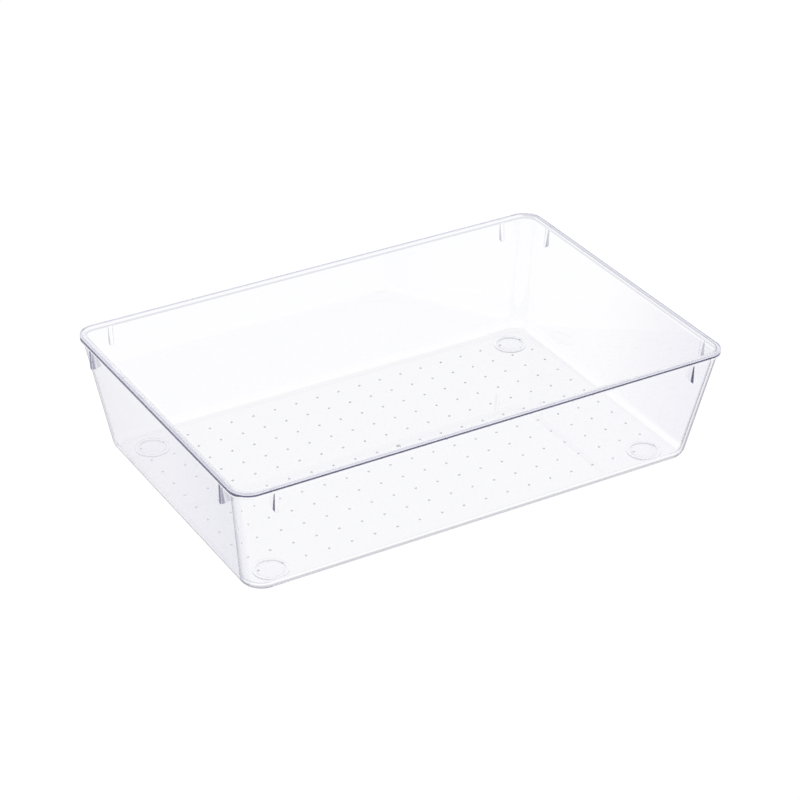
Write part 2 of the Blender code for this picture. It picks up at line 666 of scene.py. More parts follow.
@dataclass(frozen=True)
class ClearPlastic:
    """Polished clear moulded polystyrene: faint flow waves, a haze of handling marks, a cool cast.

    Painted shade: the colour that light keeps as it enters darkens as the surface turns away, and
    more so at the moulding's edges, which draws them as painted dark lines. Light already inside
    is dimmed by the mass of plastic that it crosses, and painted shade darkens it where it leaves
    by a few of those edges.

    Attributes:
        outline: Where the moulding's features lie.
        tint: The colour that light keeps where it enters square on.
        slanted_shade: Painted shade, the colour that it keeps where it enters at a slant.
        grazed_shade: Darker painted shade, the colour that it keeps where it only grazes the
            surface.
        entry: How far the surface has turned away for each of the three, from 0 to 1.
        index: The index of refraction.
        polish: The roughness where the mould was best polished and where it was least.
        haze: The patches of handling haze.
        flow: The flow waves.
        flow_stretch: How many of them there are to a metre, along, across and up the tray.
        flow_height: The flow waves' height.
        depth_colour: The colour that the mass of plastic keeps.
        depth_density: How strongly the mass of plastic absorbs, per metre.
        rim_painted_shade: Painted shade on the part of the rim's top that overhangs.
        rim_inner_painted_shade: Painted shade on the middle of the right rim's top.
        rim_inner: Where that is, past the overhang.
        right_end: How far in from the tray's right end that mark starts and is full.
        lip_painted_shade: Painted shade, a dark line, on the upper part of the rim's outer face.
        lip: Where that part is, past the rim's top.
        lip_at_ends: How much further down it reaches on the tray's ends.
        low_rim_painted_shade: Painted shade on the lower part of the rim's outer face, from inside.
        low_rim: Where that part is, past the rim's underside.
        rib_painted_shade: Painted shade on the ribs' endways faces, but on the back wall.
        ribs_to: Where across the tray that stops, from full to none.
        rib_side_painted_shade: Painted shade on all the ribs' sides, from inside too.
        pip_painted_shade: Painted shade on the pips.
        pip: Where the pips' sides are, past the floor.
        floor_painted_shade: Painted shade on the floor's inside face.
        wall_painted_shade: Painted shade on the end walls' left faces at their front ends.
        wall_from: Where across the tray that darkening starts.
        bend_painted_shade: Painted shade on the rounded corners where they turn away.
        bends_at: How far they have turned away where that starts and is full.
        base_painted_shade: Painted shade on the floor's rounded outer edge, twice over at the tray's
            ends.
        base: Where that edge is, past the underside.
        ring_painted_shade: Painted shade on the rings' sides, from inside too.
        fade: Over what distance a painted shade mark fades out.
    """

    outline: Outline
    tint: Colour = (0.995, 0.995, 1.0)
    slanted_shade: Colour = (0.84, 0.84, 0.89)
    grazed_shade: Colour = (0.03, 0.03, 0.09)
    entry: tuple[float, float, float] = (0.50, 0.72, 0.92)
    index: float = 1.58
    polish: tuple[float, float] = (0.0, 0.012)
    haze: Pattern = Pattern(60.0, 4.0, 0.6)
    flow: Pattern = Pattern(1.0, 2.0, 0.4)
    flow_stretch: tuple[float, float, float] = (9.0, 16.0, 30.0)
    flow_height: float = 0.00004
    depth_colour: Colour = (0.40, 0.40, 0.52)
    depth_density: float = 0.2
    # Painted shade colours, each with the band or mask where it darkens the plastic, run from here
    # to fade.
    rim_painted_shade: Colour = (0.58, 0.58, 0.72)
    rim_inner_painted_shade: Colour = (0.34, 0.34, 0.42)
    rim_inner: Band = Band(-0.0012, -0.0009, -0.00045, -0.00015)
    right_end: tuple[float, float] = (-0.008, -0.005)
    lip_painted_shade: Colour = (0.012, 0.012, 0.04)
    lip: Band = Band(-0.0014, -0.0011, -0.0005, -0.0002)
    lip_at_ends: float = 0.0005
    low_rim_painted_shade: Colour = (0.60, 0.60, 0.68)
    low_rim: Band = Band(-0.0003, -0.00015, 0.00045, 0.0006)
    rib_painted_shade: Colour = (0.02, 0.02, 0.07)
    ribs_to: tuple[float, float] = (0.068, 0.074)
    rib_side_painted_shade: Colour = (0.42, 0.42, 0.50)
    pip_painted_shade: Colour = (0.36, 0.36, 0.38)
    pip: Band = Band(0.00003, 0.000075, 0.0006, 0.00075)
    floor_painted_shade: Colour = (0.89, 0.89, 0.91)
    wall_painted_shade: Colour = (0.78, 0.77, 0.84)
    wall_from: float = 0.02
    bend_painted_shade: Colour = (0.08, 0.08, 0.15)
    bends_at: tuple[float, float] = (0.50, 0.78)
    base_painted_shade: Colour = (0.40, 0.40, 0.44)
    base: Band = Band(0.0013, 0.0019, 0.00335, 0.00425)
    ring_painted_shade: Colour = (0.62, 0.62, 0.66)
    fade: float = 0.00015

    def material(self) -> bpy.types.Material:
        """Builds the finish on Object coordinates.

        Returns:
            The material.
        """
        material, paper = blank_material("clear_plastic")
        spot = Spot(paper, self.outline)
        stretch = paper.add("ShaderNodeMapping", Vector=spot.place, Scale=self.flow_stretch)
        flow = paper.noise(stretch.outputs["Vector"], self.flow)
        haze = paper.noise(spot.place, self.haze)
        wave = paper.add("ShaderNodeBump", Height=flow, Distance=self.flow_height)
        # Painted shade: the colour darkens as the surface turns away from the light's way in, which
        # draws the moulding's edges as dark lines.
        colours = (self.tint, self.slanted_shade, self.grazed_shade)
        entering = paper.shaded(spot.turned_away, tuple(zip(self.entry, colours)))
        # Painted shade marks darken the rim, walls, ribs, corners, pips and floor where light
        # enters.
        entering = paper.darkened_by(
            entering, [*self.rim_shade_marks(spot), *self.wall_shade_marks(spot), *self.floor_shade_marks(spot)]
        )
        kept = paper.blended(spot.from_inside, entering, self.tint)
        # Painted shade marks darken the rings' sides, the ribs' sides and, from inside, the rim's
        # lower outside.
        kept = paper.darkened_by(kept, self.shade_marks_from_both_sides(spot))
        shader = paper.add(
            "ShaderNodeBsdfPrincipled",
            Base_Color=kept,
            Roughness=paper.spread(haze, *self.polish),
            Normal=wave.outputs["Normal"],
            IOR=self.index,
            Transmission_Weight=1.0,
        )
        mass = paper.add(
            "ShaderNodeVolumeAbsorption",
            Color=(*self.depth_colour, 1.0),
            Density=self.depth_density,
        )
        paper.add(
            "ShaderNodeOutputMaterial",
            Surface=shader.outputs["BSDF"],
            Volume=mass.outputs["Volume"],
        )
        return material

    def rim_shade_marks(self, spot: Spot) -> Marks:
        """Paints shade on the rim's overhanging top, its lip, and the middle of the right rim's top.

        Args:
            spot: The point.

        Returns:
            Each painted shade mark's share and colour.
        """
        paper, outline, fade = spot.paper, self.outline, self.fade
        upward = paper.rise(spot.normal["Z"], *Lie.UPWARD.value)
        near_top = paper.rise(spot.height, outline.flange, outline.top - fade)
        past_wall = spot.past(spot.out, -outline.overhang)
        overhang = paper.rise(past_wall, -fade, fade)
        lowered = paper.maths("MULTIPLY", spot.endways, self.lip_at_ends)
        past_top = spot.past(paper.maths("ADD", spot.height, lowered), outline.top)
        lip_end = paper.rise(past_top, self.lip.start, self.lip.full)
        lip_top = paper.rise(spot.past(spot.height, outline.top), self.lip.gone, self.lip.fading)
        upright = paper.maths("SUBTRACT", overhang, upward)
        from_end = spot.past(spot.x, outline.half_length)
        return [
            # Painted shade on the rim's overhanging top.
            (paper.product(near_top, overhang, upward), self.rim_painted_shade),
            # Painted shade: a dark line along the rim's upper outer face.
            (paper.product(lip_top, lip_end, upright), self.lip_painted_shade),
            # Painted shade on the middle of the right rim's top.
            (
                paper.product(
                    paper.rise(from_end, *self.right_end),
                    self.rim_inner.share(paper, past_wall),
                    near_top,
                ),
                self.rim_inner_painted_shade,
            ),
        ]

    def wall_shade_marks(self, spot: Spot) -> Marks:
        """Paints shade on the ribs' endways faces, the rounded corners and the end walls' left
        faces.

        Args:
            spot: The point.

        Returns:
            Each painted shade mark's share and colour.
        """
        paper, outline, fade = spot.paper, self.outline, self.fade
        not_back = paper.rise(spot.y, *self.ribs_to[::-1])
        below_rim = spot.below_rim(fade)
        into_bend = outline.round_corner(paper, spot.place, spot.height)
        bend = paper.rise(into_bend, -fade, fade)
        turning = paper.rise(spot.turned_away, *self.bends_at)
        leftward = paper.rise(spot.normal["X"], *Lie.LEFTWARD.value)
        frontward = paper.rise(spot.y, self.wall_from, -outline.half_width)
        return [
            # Painted shade on the ribs' endways faces, except on the back wall.
            (paper.product(spot.on_ribs(fade), not_back, spot.endways), self.rib_painted_shade),
            # Painted shade: dark lines where the rounded corners turn away.
            (paper.product(bend, below_rim, turning), self.bend_painted_shade),
            # Painted shade on the end walls' left faces, towards the front.
            (paper.product(leftward, frontward, below_rim), self.wall_painted_shade),
        ]

    def floor_shade_marks(self, spot: Spot) -> Marks:
        """Paints shade on the pips, the floor's inside face and its rounded outer edge.

        Args:
            spot: The point.

        Returns:
            Each painted shade mark's share and colour.
        """
        paper, outline, fade = spot.paper, self.outline, self.fade
        above_floor = spot.past(spot.height, outline.floor)
        edge = -outline.marks_inset
        on_floor = paper.rise(spot.out, edge + fade, edge - fade)
        level = paper.rise(spot.normal["Z"], *Lie.LEVEL.value)
        low = paper.rise(above_floor, self.pip.gone, self.pip.fading)
        above_underside = spot.past(spot.height, outline.underside)
        base = paper.product(
            self.base.share(paper, above_underside),
            paper.rise(spot.normal["Z"], *Lie.UNDERCUT.value),
        )
        return [
            # Painted shade on the pips' sides.
            (paper.product(self.pip.share(paper, above_floor), on_floor), self.pip_painted_shade),
            # Painted shade on the floor's inside face.
            (paper.product(level, low), self.floor_painted_shade),
            # Painted shade on the floor's rounded outer edge, twice over at the tray's ends.
            (base, self.base_painted_shade),
            (paper.product(base, spot.endways), self.base_painted_shade),
        ]

    def shade_marks_from_both_sides(self, spot: Spot) -> Marks:
        """Paints shade on the rings' sides and the ribs' sides, and from inside on the rim's lower
        outside.

        Args:
            spot: The point.

        Returns:
            Each painted shade mark's share and colour.
        """
        paper, outline, fade = spot.paper, self.outline, self.fade
        steep = paper.rise(paper.size(spot.normal["Z"]), *Lie.STEEP.value)
        hanging = paper.rise(spot.past(spot.height, outline.underside), -fade / 5, -fade)
        past_flange = spot.past(spot.height, outline.flange)
        outer_face = paper.rise(spot.out, -2 * fade, -fade)
        rib_sides = paper.rise(spot.out, -2 * fade, -4 * fade)
        low_rim = self.low_rim.share(paper, past_flange)
        return [
            # Painted shade on the rings' sides.
            (paper.product(steep, hanging), self.ring_painted_shade),
            # Painted shade on the rim's lower outer face, seen from inside.
            (paper.product(low_rim, outer_face, spot.from_inside), self.low_rim_painted_shade),
            # Painted shade on the ribs' sides.
            (paper.product(rib_sides, spot.on_ribs(fade)), self.rib_side_painted_shade),
        ]


@dataclass(frozen=True)
class ClearSilicone:
    """Soft clear silicone with a satin skin that holds a little dust.

    Attributes:
        tint: The colour that light keeps through the pad.
        index: The index of refraction.
        satin: The skin's roughness where it is cleanest and where it is dustiest.
        dust: The patches of dust.
        grain: The skin's fine grain.
        grain_height: The grain's height.
        grain_strength: How strongly the grain shows.
    """

    tint: Colour = (0.985, 0.985, 0.995)
    index: float = 1.41
    satin: tuple[float, float] = (0.02, 0.08)
    dust: Pattern = Pattern(700.0, 3.0, 0.6)
    grain: Pattern = Pattern(2500.0, 2.0, 0.5)
    grain_height: float = 0.00002
    grain_strength: float = 0.5

    def material(self) -> bpy.types.Material:
        """Builds the finish on Object coordinates.

        Returns:
            The material.
        """
        material, paper = blank_material("pad_silicone")
        place = paper.add("ShaderNodeTexCoord").outputs["Object"]
        dust = paper.noise(place, self.dust)
        grain = paper.noise(place, self.grain)
        bump = paper.add(
            "ShaderNodeBump",
            Height=grain,
            Strength=self.grain_strength,
            Distance=self.grain_height,
        )
        shader = paper.add(
            "ShaderNodeBsdfPrincipled",
            Base_Color=(*self.tint, 1.0),
            Roughness=paper.spread(dust, *self.satin),
            Normal=bump.outputs["Normal"],
            IOR=self.index,
            Transmission_Weight=1.0,
        )
        paper.add("ShaderNodeOutputMaterial", Surface=shader.outputs["BSDF"])
        return material


# ---------------------------------------------------------------------------------------------
# The tray and its pads
# ---------------------------------------------------------------------------------------------


class Corner(Enum):
    """The tray's four corners, as (side along X, side along Y)."""

    FRONT_LEFT = (-1, -1)
    FRONT_RIGHT = (1, -1)
    BACK_LEFT = (-1, 1)
    BACK_RIGHT = (1, 1)

    @property
    def pad_node(self) -> str:
        """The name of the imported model's grip pad at this corner."""
        return f"grip_pad_{self.name.lower()}"


@dataclass(frozen=True)
class Shell:
    """The tray's floor, walls and rim, as one lofted skin.

    Attributes:
        length: The rim's outside length.
        width: The rim's outside width.
        underside: The height of the floor's underside.
        top: The height of the rim's top.
        wall: The walls' thickness.
        floor: The floor's thickness.
        draft: How far the walls lean outwards.
        outer_fillet: The radius of the floor's edge, outside.
        inner_fillet: The radius of the floor's edge, inside.
        fillet_steps: How many steps those arcs take.
        rim_depth: How far down the rim's outer face reaches.
        rim_overhang: How far the rim stands out from the wall.
        rim_edge: The radius of the rim's two top edges.
        rim_edge_steps: How many steps those arcs take.
        corner_at_flange: The wall's corner radius at the rim's underside.
        corner_at_base: Its corner radius at the floor's underside.
        corner_steps: How many steps a corner takes.
        holding: How far past an arc's end a point holds the flat face's shading.
    """

    length: float
    width: float
    underside: float
    top: float
    wall: float = 0.0014
    floor: float = 0.0015
    draft: float = math.radians(8.75)
    outer_fillet: float = 0.0048
    inner_fillet: float = 0.0048
    fillet_steps: int = 14
    rim_depth: float = 0.0023
    rim_overhang: float = 0.0011
    rim_edge: float = 0.0004
    rim_edge_steps: int = 4
    corner_at_flange: float = 0.0079
    corner_at_base: float = 0.0096
    corner_steps: int = 24
    holding: float = 0.0004

    @property
    def slope(self) -> float:
        """How far a wall's face leans out for each metre of height."""
        return math.tan(self.draft)

    @property
    def flange(self) -> float:
        """The height of the rim's underside above the floor's underside."""
        return self.top - self.underside - self.rim_depth

    @property
    def half_length(self) -> float:
        """Half the underside's length, before its edge is rounded."""
        return self.length / 2 - self.rim_overhang - self.flange * self.slope

    @property
    def half_width(self) -> float:
        """Half the underside's width, before its edge is rounded."""
        return self.width / 2 - self.rim_overhang - self.flange * self.slope

    def outline(self, rib_reach: float) -> Outline:
        """Where this shell's features lie.

        Args:
            rib_reach: How far the ribs hang below the rim.

        Returns:
            The outline.
        """
        flange = self.underside + self.flange
        lean = self.flange * self.slope
        narrowing = self.corner_at_base - self.corner_at_flange
        return Outline(
            half_length=self.length / 2,
            half_width=self.width / 2,
            corner=self.corner_at_flange + self.rim_overhang,
            top=self.top,
            flange=flange,
            floor=self.underside + self.floor,
            underside=self.underside,
            overhang=self.rim_overhang,
            rib_end=flange - rib_reach,
            wall_at_rib_end=self.rim_overhang + rib_reach * self.slope,
            marks_inset=self.rim_overhang + lean + self.inner_fillet + self.wall,
            bend_from=(
                self.half_length - self.corner_at_base,
                self.half_width - self.corner_at_base,
            ),
            bend_slope=self.slope + narrowing / self.flange,
        )

    def fillet(self, level: float, wall_inset: float, radius: float) -> Array:
        """The arc from a level face to a wall's leaning face, and a holding point past each end.

        With a the angle from -90 degrees to -draft, a point's height is level + r + r sin a, and
        its inset is that of the arc's centre less r cos a, less the lean up to the centre.

        Args:
            level: The level face's height.
            wall_inset: How far the wall's face is in from the outer face.
            radius: The arc's radius r.

        Returns:
            (height, inset) rows, from the level face up.
        """
        angle = arc(-QUARTER_TURN, -self.draft, self.fillet_steps)
        below_centre = -radius * np.sin(angle)
        height = level + radius - below_centre
        reach = radius * np.cos(angle) + below_centre * self.slope
        inset = wall_inset + radius / math.cos(self.draft) - reach
        height = np.concatenate(([height[0]], height, [height[-1] + self.holding]))
        inset = np.concatenate(([inset[0] + self.holding], inset, [inset[-1]]))
        return np.stack((height, inset), axis=1)

    def rim(self) -> Array:
        """The rim's section, from its underside at the wall round to its inner edge.

        The outer face is upright, so its inset from the leaning wall grows with height. Both top
        edges are quarter circles of the edge's radius.

        Returns:
            (height, inset) rows.
        """
        turn = arc(0.0, QUARTER_TURN, self.rim_edge_steps)
        top = self.top - self.underside
        low = self.rim_edge * (1 - np.cos(turn))
        edge_height = top - self.rim_edge + self.rim_edge * np.sin(turn)
        outer = (edge_height - self.flange) * self.slope - self.rim_overhang + low
        inner_wall = self.wall / math.cos(self.draft)
        underneath = [
            [self.flange - self.holding, 0.0],
            [self.flange, 0.0],
            [self.flange, -self.rim_overhang],
        ]
        outer_edge = np.stack((edge_height, outer), axis=1)
        inner_edge = np.stack((edge_height, inner_wall + low), axis=1)[::-1]
        inner_face = [[edge_height[0] - self.holding, inner_wall]]
        return np.concatenate((underneath, outer_edge, inner_edge, inner_face))

    def skin(self) -> Skin:
        """Carries the section round the rounded rectangle.

        Round each corner a point is centre + r (cos t, sin t), and one holding point lies past
        each end of the arc, along the wall. The half sides grow with height by the walls' lean,
        and r goes from the base's corner radius to the rim's.

        Returns:
            The closed shell.
        """
        outer = self.fillet(0.0, 0.0, self.outer_fillet)
        inner = self.fillet(self.floor, self.wall / math.cos(self.draft), self.inner_fillet)
        section = np.concatenate((outer, self.rim(), inner[::-1]))
        height, inset = section[:, 0, None, None], section[:, 1, None, None]
        share = height / self.flange
        radius = self.corner_at_base + (self.corner_at_flange - self.corner_at_base) * share
        radius = radius - inset
        centre_x = self.half_length + height * self.slope - inset - radius
        centre_y = self.half_width + height * self.slope - inset - radius
        turn = arc(0.0, QUARTER_TURN, self.corner_steps)
        turn = np.concatenate(([0.0], turn, [QUARTER_TURN]))[None, None]
        past = np.zeros_like(turn)
        past[..., 0], past[..., -1] = -self.holding, self.holding
        turn = turn + QUARTER_TURN * np.arange(4)[None, :, None]
        side_x = np.array([1, -1, -1, 1])[None, :, None]
        side_y = np.array([1, 1, -1, -1])[None, :, None]
        x = side_x * centre_x + radius * np.cos(turn) - past * np.sin(turn)
        y = side_y * centre_y + radius * np.sin(turn) + past * np.cos(turn)
        z = np.broadcast_to(self.underside + height, x.shape)
        loops = np.stack((x, y, z), axis=-1).reshape(len(section), -1, 3)
        return lofted(loops)


@dataclass(frozen=True)
class Ribs:
    """The eight short stacking ribs that hang under the rim, two at each corner.

    Attributes:
        shell: The shell that they stand on.
        from_corner: From the rim's outside at a corner to a rib's middle.
        width: A rib's width.
        reach_down: How far a rib hangs below the rim.
        setback: How far its front stays behind the rim's outer face.
        root: How far it reaches into the wall.
        edge: The radius of its front edge.
        edge_steps: How many steps that arc takes.
        end_steps: How many steps its round lower end takes.
    """

    shell: Shell
    from_corner: float = 0.0165
    width: float = 0.0020
    reach_down: float = 0.0092
    setback: float = 0.0002
    root: float = 0.0007
    edge: float = 0.0003
    edge_steps: int = 4
    end_steps: int = 16

    def skin(self) -> Skin:
        """Builds one rib on the front wall's plan and turns it to each place.

        Seen square on, a rib's outline is a strip of half width w with a round lower end. From
        the wall to the front the outline keeps its shape up to the edge, and there it draws in by
        e (1 - cos a) while it moves out by e sin a. The root follows the wall's lean.

        Returns:
            The eight ribs, each closed.
        """
        shell = self.shell
        turn = arc(math.pi, 2 * math.pi, self.end_steps)
        edge_turn = arc(0.0, QUARTER_TURN, self.edge_steps)
        drawn_in = np.concatenate(([0.0], self.edge * (1 - np.cos(edge_turn))))[:, None]
        half = self.width / 2 - drawn_in
        middle = shell.flange - self.reach_down + self.width / 2
        head = shell.flange + shell.rim_depth / 2
        across = np.concatenate((half * np.cos(turn), half, -half), axis=1)
        flat_head = np.full_like(half, head)
        height = np.concatenate((middle + half * np.sin(turn), flat_head, flat_head), axis=1)
        ribs = []
        for along_half, base, rim_face, facing in self.places():
            front = rim_face - self.setback
            rounded = front - self.edge + self.edge * np.sin(edge_turn)
            depth = np.concatenate(([0.0], rounded))[:, None]
            depth = np.broadcast_to(depth, height.shape).copy()
            depth[0] = base + height[0] * shell.slope - self.root
            outward = np.array([math.cos(facing), math.sin(facing), 0.0])
            sideways = np.array([-math.sin(facing), math.cos(facing), 0.0])
            up = np.array([0.0, 0.0, 1.0])
            loops = (
                depth[..., None] * outward
                + (across + along_half)[..., None] * sideways
                + (shell.underside + height)[..., None] * up
            )
            ribs.append(lofted(loops))
        return together(ribs)

    def places(self) -> list[tuple[float, float, float, float]]:
        """Where the ribs stand.

        Returns:
            For each rib, its place along its wall, the wall's reach at the base, the rim's reach,
            and the way that it faces, as an angle from +X.
        """
        shell = self.shell
        end_wall = (shell.width, shell.half_length, shell.length / 2)
        long_wall = (shell.length, shell.half_width, shell.width / 2)
        return [
            (end * (length / 2 - self.from_corner), base, rim_face, turn * QUARTER_TURN)
            for turn, (length, base, rim_face) in enumerate((end_wall, long_wall) * 2)
            for end in (-1, 1)
        ]


@dataclass(frozen=True)
class FloorMarks:
    """What stands on the floor's two faces: the grid of pips, the gate's stub and the four rings.

    Attributes:
        floor_top: The height of the floor's inside face.
        underside: The height of the floor's underside.
        pitch: The grid's step.
        columns: How many pips stand along the tray.
        rows: How many stand across it.
        pip_radius: A pip's radius.
        pip_height: Its height, and the gate stub's.
        pip_sides: How many points go round it.
        pip_steps: How many steps its profile takes.
        gate_radius: The gate stub's radius.
        gate_sides: How many points go round it.
        root: How far each of them reaches into the floor.
        ring_column: The rings' places along the tray, in grid steps from the middle.
        ring_row: Their places across it.
        ring_outer: A ring's outside radius.
        ring_inner: Its inside radius.
        ring_height: How far it hangs below the floor.
        ring_edge: The radius of its lower edges.
        ring_edge_steps: How many steps those arcs take.
        ring_sides: How many points go round it.
    """

    floor_top: float
    underside: float
    pitch: float = 0.0106
    columns: int = 19
    rows: int = 11
    pip_radius: float = 0.00058
    pip_height: float = 0.0004
    pip_sides: int = 14
    pip_steps: int = 4
    gate_radius: float = 0.0011
    gate_sides: int = 32
    root: float = 0.0004
    ring_column: float = 8.5
    ring_row: float = 5.0
    ring_outer: float = 0.0075
    ring_inner: float = 0.0061
    ring_height: float = 0.0008
    ring_edge: float = 0.00015
    ring_edge_steps: int = 3
    ring_sides: int = 72

    def dome(self, radius: float, height: float, sides: int) -> Skin:
        """A low dome rooted in the floor.

        With a from 0 to just under 90 degrees, the dome's radius is r cos a and its height
        h sin a.

        Args:
            radius: The dome's radius r.
            height: The dome's height h.
            sides: How many points go round it.

        Returns:
            The closed dome about the Z axis.
        """
        rise = arc(0.0, QUARTER_TURN, self.pip_steps + 1)[:-1]
        radii = np.concatenate(([radius], radius * np.cos(rise)))
        heights = self.floor_top + np.concatenate(([-self.root], height * np.sin(rise)))
        return turned(radii, heights, sides)

    def pips(self) -> Skin:
        """The square grid of pips, with the gate's wider stub in the middle.

        Returns:
            The pips and the stub, each closed.
        """
        column = (np.arange(self.columns) - (self.columns - 1) / 2) * self.pitch
        row = (np.arange(self.rows) - (self.rows - 1) / 2) * self.pitch
        x, y = (grid.ravel() for grid in np.meshgrid(column, row))
        at_gate = np.hypot(x, y) < self.pitch / 2
        offsets = np.stack((x, y, np.zeros_like(x)), axis=1)[~at_gate]
        pip = self.dome(self.pip_radius, self.pip_height, self.pip_sides)
        stub = self.dome(self.gate_radius, self.pip_height, self.gate_sides)
        return together([pip.repeated(offsets), stub])

    def rings(self) -> Skin:
        """The four rings under the floor, each a band with rounded lower edges.

        Returns:
            The rings, each closed.
        """
        turn = arc(0.0, QUARTER_TURN, self.ring_edge_steps)
        low = self.underside - self.ring_height
        outer = self.ring_outer - self.ring_edge * (1 - np.sin(turn))
        inner = self.ring_inner + self.ring_edge * (1 - np.cos(turn))
        radii = np.concatenate(([self.ring_inner, self.ring_outer], outer[::-1], inner[::-1]))
        heights = np.concatenate(
            (
                [self.underside + self.root] * 2,
                low + self.ring_edge * (1 - np.cos(turn[::-1])),
                low + self.ring_edge * (1 - np.sin(turn[::-1])),
            )
        )
        sides = np.array([(*corner.value, 0) for corner in Corner])
        centres = sides * self.pitch * (self.ring_column, self.ring_row, 0.0)
        return turned(radii, heights, self.ring_sides, joined_ends=True).repeated(centres)


@dataclass(frozen=True)
class Tray:
    """The whole moulding, welded into one clear piece.

    Attributes:
        node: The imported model's node that it stands for.
        pad_node: A packed grip pad, whose thickness sets the moulding's height off the floor.
        pad_gap: The gap over a pad.
        smooth_below: Edges that turn by less than this are shaded round.
    """

    node: str = "tray"
    pad_node: str = Corner.FRONT_LEFT.pad_node
    pad_gap: float = 0.0003
    smooth_below: float = math.radians(32)

    def shell(self) -> Shell:
        """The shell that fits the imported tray's box.

        Returns:
            Its sizes.
        """
        low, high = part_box(self.node)
        pad_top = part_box(self.pad_node)[1].z
        size = high - low
        return Shell(length=size.x, width=size.y, underside=pad_top + self.pad_gap, top=high.z)

    def build(self) -> bpy.types.Object:
        """Builds the shell, welds its ribs, rings and pips to it, and dresses it.

        Returns:
            The tray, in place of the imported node.
        """
        shell = self.shell()
        marks = FloorMarks(floor_top=shell.underside + shell.floor, underside=shell.underside)
        ribs = Ribs(shell)
        details = together([ribs.skin(), marks.rings(), marks.pips()])
        base = in_scene("tray_shell", shell.skin().mesh("tray_shell"))
        extra = in_scene("tray_details", details.mesh("tray_details"))
        union = base.modifiers.new("weld", "BOOLEAN")
        union.operation = "UNION"
        union.solver = "EXACT"
        union.object = extra
        graph = bpy.context.evaluated_depsgraph_get()
        mesh = bpy.data.meshes.new_from_object(base.evaluated_get(graph))
        for helper in (base, extra):
            bpy.data.objects.remove(helper, do_unlink=True)
        mesh.name = "clear_tray"
        mesh.shade_smooth()
        mesh.set_sharp_from_angle(angle=self.smooth_below)
        mesh.materials.clear()
        mesh.materials.append(ClearPlastic(shell.outline(ribs.reach_down)).material())
        piece = in_scene("clear_tray", mesh)
        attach(piece, BODY)
        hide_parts(self.node)
        return piece


@dataclass(frozen=True)
class GripPad:
    """One soft round pad, with a rounded edge and a slightly crowned top.

    Attributes:
        corner: The corner that it stands at.
        edge: The radius of its edges.
        crown: How far its top falls from the middle to the edge.
        sides: How many points go round it.
        edge_steps: How many steps an edge takes.
        crown_steps: How many steps its top takes.
    """

    corner: Corner
    edge: float = 0.00035
    crown: float = 0.00008
    sides: int = 64
    edge_steps: int = 6
    crown_steps: int = 5

    def build(self, material: bpy.types.Material) -> bpy.types.Object:
        """Turns the pad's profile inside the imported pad's box, and dresses it.

        From the axis out, the lower face is level, the edge is two quarter circles, and the top
        falls from the middle by crown times (r / radius) squared.

        Args:
            material: The silicone.

        Returns:
            The pad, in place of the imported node.
        """
        low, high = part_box(self.corner.pad_node)
        centre = (low + high) / 2
        radius, thickness = (high.x - low.x) / 2, high.z - low.z
        turn = arc(0.0, QUARTER_TURN, self.edge_steps)
        flat = radius - self.edge
        inner = np.linspace(flat / self.crown_steps / 2, flat, self.crown_steps)
        rise = thickness - self.crown * (inner / flat) ** 2
        shoulder = thickness - self.crown - self.edge
        radii = np.concatenate(
            (
                inner[:1],
                flat + self.edge * np.sin(turn),
                flat + self.edge * np.cos(turn),
                inner[::-1][1:],
            )
        )
        heights = np.concatenate(
            (
                [0.0],
                self.edge * (1 - np.cos(turn)),
                shoulder + self.edge * np.sin(turn),
                rise[::-1][1:],
            )
        )
        skin = turned(radii, heights, self.sides)
        skin = skin.repeated(np.array([[centre.x, centre.y, low.z]]))
        mesh = skin.mesh(self.name)
        mesh.shade_smooth()
        mesh.materials.append(material)
        piece = in_scene(self.name, mesh)
        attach(piece, BODY)
        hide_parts(self.corner.pad_node)
        return piece

    @property
    def name(self) -> str:
        """The finished pad's name."""
        return f"clear_pad_{self.corner.name.lower()}"


# ---------------------------------------------------------------------------------------------
# The studio
# ---------------------------------------------------------------------------------------------


@dataclass(frozen=True)
class PaleFloor:
    """A plain pale floor, far wider than the view, that glows like a lit table.

    The eye sees it evenly white. What the plastic bends or mirrors of it is a soft pool of light.

    Attributes:
        radius: The disc's radius.
        sides: How many points go round it.
        white: How bright it looks to the eye.
        middle: The middle of the pool of light.
        pool: The pool's colour in its middle.
        beyond: The floor's colour outside the pool.
        reach: Where the pool starts to fall off, and where it ends.
        drop: How far the disc lies below z = 0.
    """

    radius: float = 8.0
    sides: int = 96
    white: float = 1.03
    middle: tuple[float, float, float] = (0.04, 0.03, 0.0)
    pool: Colour = (1.0, 1.0, 1.01)
    beyond: Colour = (0.99, 0.99, 1.0)
    reach: tuple[float, float] = (0.10, 0.26)
    drop: float = 0.0001

    def build(self) -> bpy.types.Object:
        """Makes the floor's disc, a hair below z = 0 so that it never meets the pads' faces.

        Returns:
            The floor.
        """
        turn = np.linspace(0.0, 2 * math.pi, self.sides, endpoint=False)
        ring = np.stack(
            (self.radius * np.cos(turn), self.radius * np.sin(turn), 0 * turn - self.drop),
            axis=1,
        )
        mesh = bpy.data.meshes.new("floor")
        mesh.from_pydata(ring.tolist(), [], [list(range(self.sides))])
        mesh.materials.append(self.paint())
        floor = in_scene("floor", mesh)
        return floor

    def paint(self) -> bpy.types.Material:
        """Builds the floor's glow.

        Returns:
            The material.
        """
        material, paper = blank_material("floor_glow")
        place = paper.add("ShaderNodeTexCoord").outputs["Object"]
        away = paper.vectors("DISTANCE", place, self.middle)["Value"]
        share = paper.rise(away, *self.reach)
        around = paper.shaded(share, ((0.0, self.pool), (1.0, self.beyond)))
        glow = paper.glow("ShaderNodeEmission", around, self.white)
        paper.add("ShaderNodeOutputMaterial", Surface=glow)
        return material


